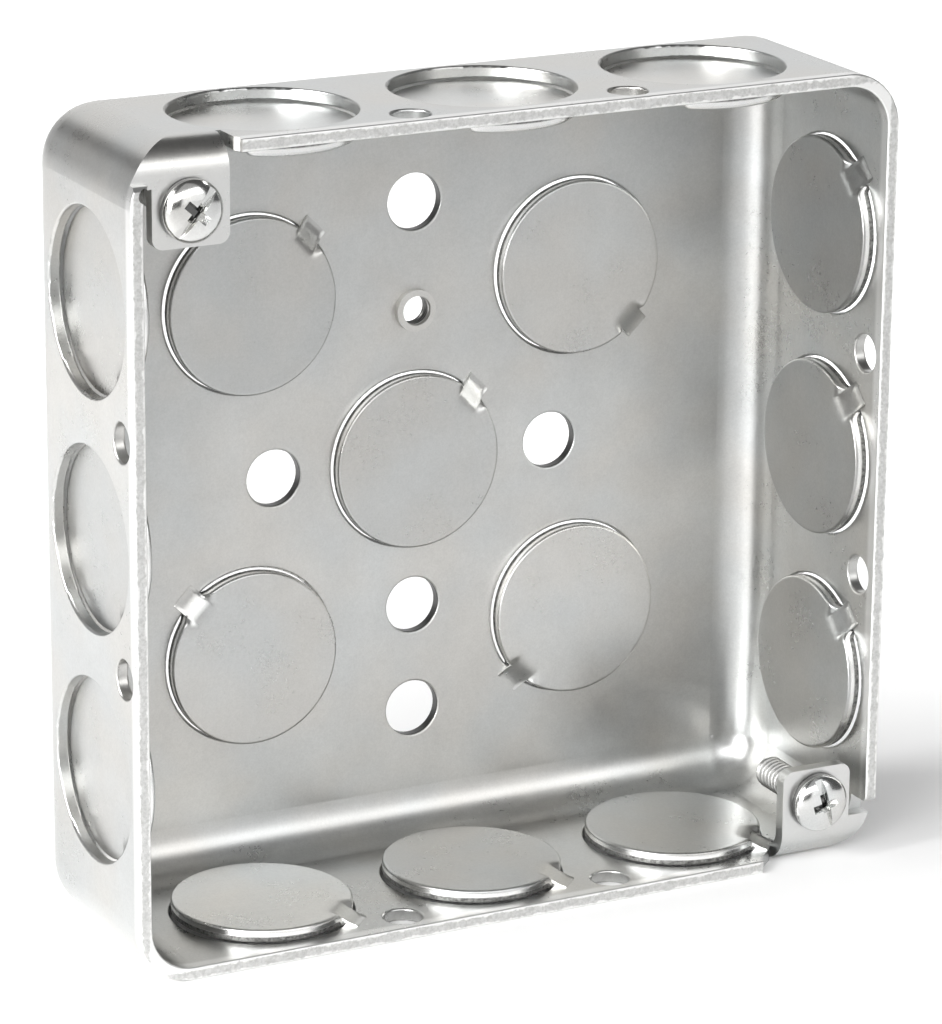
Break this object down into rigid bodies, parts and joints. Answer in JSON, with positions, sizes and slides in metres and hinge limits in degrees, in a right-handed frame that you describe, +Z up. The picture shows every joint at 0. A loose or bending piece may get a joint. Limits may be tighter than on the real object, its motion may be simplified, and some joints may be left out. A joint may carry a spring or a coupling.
{
  "type": "electrical junction box",
  "caption": "Square drawn-steel outlet box, open at the front, with swing-in knockout slugs on every wall, mounting holes and a pair of cover screws on folded corner ears.",
  "frame": {"origin": "centre of the back panel's outer face, which is also the mouth of the centre knockout", "axes": "+Y out of the back of the box, so the open front faces -Y; +Z up as the box stands on its bottom wall; +X to the right seen from the front"},
  "size_m": [0.1016, 0.0326, 0.1016],
  "materials": {
    "galvanised_sheet": "satin zinc-coated sheet steel",
    "galvanised_slug": "satin zinc-coated sheet steel with sheared edges",
    "plated_screw": "bright zinc plate"
  },
  "bodies": {
    "box_shell": {"box_shell": "galvanised_sheet"},
    "back_knockout_upper_left": {"back_knockout_upper_left": "galvanised_slug"},
    "back_knockout_upper_right": {"back_knockout_upper_right": "galvanised_slug"},
    "back_knockout_centre": {"back_knockout_centre": "galvanised_slug"},
    "back_knockout_lower_left": {"back_knockout_lower_left": "galvanised_slug"},
    "back_knockout_lower_right": {"back_knockout_lower_right": "galvanised_slug"},
    "top_knockout_left": {"top_knockout_left": "galvanised_slug"},
    "top_knockout_middle": {"top_knockout_middle": "galvanised_slug"},
    "top_knockout_right": {"top_knockout_right": "galvanised_slug"},
    "bottom_knockout_left": {"bottom_knockout_left": "galvanised_slug"},
    "bottom_knockout_middle": {"bottom_knockout_middle": "galvanised_slug"},
    "bottom_knockout_right": {"bottom_knockout_right": "galvanised_slug"},
    "left_knockout_lower": {"left_knockout_lower": "galvanised_slug"},
    "left_knockout_middle": {"left_knockout_middle": "galvanised_slug"},
    "left_knockout_upper": {"left_knockout_upper": "galvanised_slug"},
    "right_knockout_lower": {"right_knockout_lower": "galvanised_slug"},
    "right_knockout_middle": {"right_knockout_middle": "galvanised_slug"},
    "right_knockout_upper": {"right_knockout_upper": "galvanised_slug"},
    "cover_screw_upper_left": {"cover_screw_upper_left": "plated_screw"},
    "cover_screw_lower_right": {"cover_screw_lower_right": "plated_screw"}
  },
  "joints": [
    {"name": "back_knockout_upper_left_tie", "type": "hinge", "parent": "box_shell", "child": "back_knockout_upper_left", "pos_m": [-0.01371, -0.0016, 0.03139], "axis": [-0.7071, 0, 0.7071], "range_deg": [0, 45]},
    {"name": "back_knockout_upper_right_tie", "type": "hinge", "parent": "box_shell", "child": "back_knockout_upper_right", "pos_m": [0.03139, -0.0016, 0.01371], "axis": [0.7071, 0, 0.7071], "range_deg": [0, 45]},
    {"name": "back_knockout_centre_tie", "type": "hinge", "parent": "box_shell", "child": "back_knockout_centre", "pos_m": [0.00884, -0.0016, 0.00884], "axis": [-0.7071, 0, 0.7071], "range_deg": [0, 75]},
    {"name": "back_knockout_lower_left_tie", "type": "hinge", "parent": "box_shell", "child": "back_knockout_lower_left", "pos_m": [-0.03139, -0.0016, -0.01371], "axis": [-0.7071, 0, -0.7071], "range_deg": [0, 45]},
    {"name": "back_knockout_lower_right_tie", "type": "hinge", "parent": "box_shell", "child": "back_knockout_lower_right", "pos_m": [0.01371, -0.0016, -0.03139], "axis": [0.7071, 0, -0.7071], "range_deg": [0, 45]},
    {"name": "top_knockout_left_tie", "type": "hinge", "parent": "box_shell", "child": "top_knockout_left", "pos_m": [-0.03704, -0.02714, 0.0492], "axis": [-0.7071, 0.7071, 0], "range_deg": [0, 35]},
    {"name": "top_knockout_middle_tie", "type": "hinge", "parent": "box_shell", "child": "top_knockout_middle", "pos_m": [-0.00824, -0.02714, 0.0492], "axis": [-0.7071, 0.7071, 0], "range_deg": [0, 40]},
    {"name": "top_knockout_right_tie", "type": "hinge", "parent": "box_shell", "child": "top_knockout_right", "pos_m": [0.02056, -0.02714, 0.0492], "axis": [-0.7071, 0.7071, 0], "range_deg": [0, 40]},
    {"name": "bottom_knockout_left_tie", "type": "hinge", "parent": "box_shell", "child": "bottom_knockout_left", "pos_m": [-0.01996, -0.02714, -0.0492], "axis": [0.7071, 0.7071, 0], "range_deg": [0, 40]},
    {"name": "bottom_knockout_middle_tie", "type": "hinge", "parent": "box_shell", "child": "bottom_knockout_middle", "pos_m": [0.00884, -0.02714, -0.0492], "axis": [0.7071, 0.7071, 0], "range_deg": [0, 40]},
    {"name": "bottom_knockout_right_tie", "type": "hinge", "parent": "box_shell", "child": "bottom_knockout_right", "pos_m": [0.03764, -0.02714, -0.0492], "axis": [0.7071, 0.7071, 0], "range_deg": [0, 30]},
    {"name": "left_knockout_lower_tie", "type": "hinge", "parent": "box_shell", "child": "left_knockout_lower", "pos_m": [-0.0492, -0.02714, -0.03634], "axis": [0, 0.7071, -0.7071], "range_deg": [0, 40]},
    {"name": "left_knockout_middle_tie", "type": "hinge", "parent": "box_shell", "child": "left_knockout_middle", "pos_m": [-0.0492, -0.02714, -0.00754], "axis": [0, 0.7071, -0.7071], "range_deg": [0, 40]},
    {"name": "left_knockout_upper_tie", "type": "hinge", "parent": "box_shell", "child": "left_knockout_upper", "pos_m": [-0.0492, -0.02714, 0.02126], "axis": [0, 0.7071, -0.7071], "range_deg": [0, 40]},
    {"name": "right_knockout_lower_tie", "type": "hinge", "parent": "box_shell", "child": "right_knockout_lower", "pos_m": [0.0492, -0.02714, -0.01996], "axis": [0, 0.7071, 0.7071], "range_deg": [0, 40]},
    {"name": "right_knockout_middle_tie", "type": "hinge", "parent": "box_shell", "child": "right_knockout_middle", "pos_m": [0.0492, -0.02714, 0.00884], "axis": [0, 0.7071, 0.7071], "range_deg": [0, 40]},
    {"name": "right_knockout_upper_tie", "type": "hinge", "parent": "box_shell", "child": "right_knockout_upper", "pos_m": [0.0492, -0.02714, 0.03764], "axis": [0, 0.7071, 0.7071], "range_deg": [0, 40]},
    {"name": "cover_screw_upper_left_turn", "type": "hinge", "parent": "box_shell", "child": "cover_screw_upper_left", "pos_m": [-0.0429, -0.03035, 0.0429], "axis": [0, 1, 0], "continuous": true},
    {"name": "cover_screw_lower_right_turn", "type": "hinge", "parent": "box_shell", "child": "cover_screw_lower_right", "pos_m": [0.0429, -0.03035, -0.0429], "axis": [0, 1, 0], "continuous": true}
  ]
}
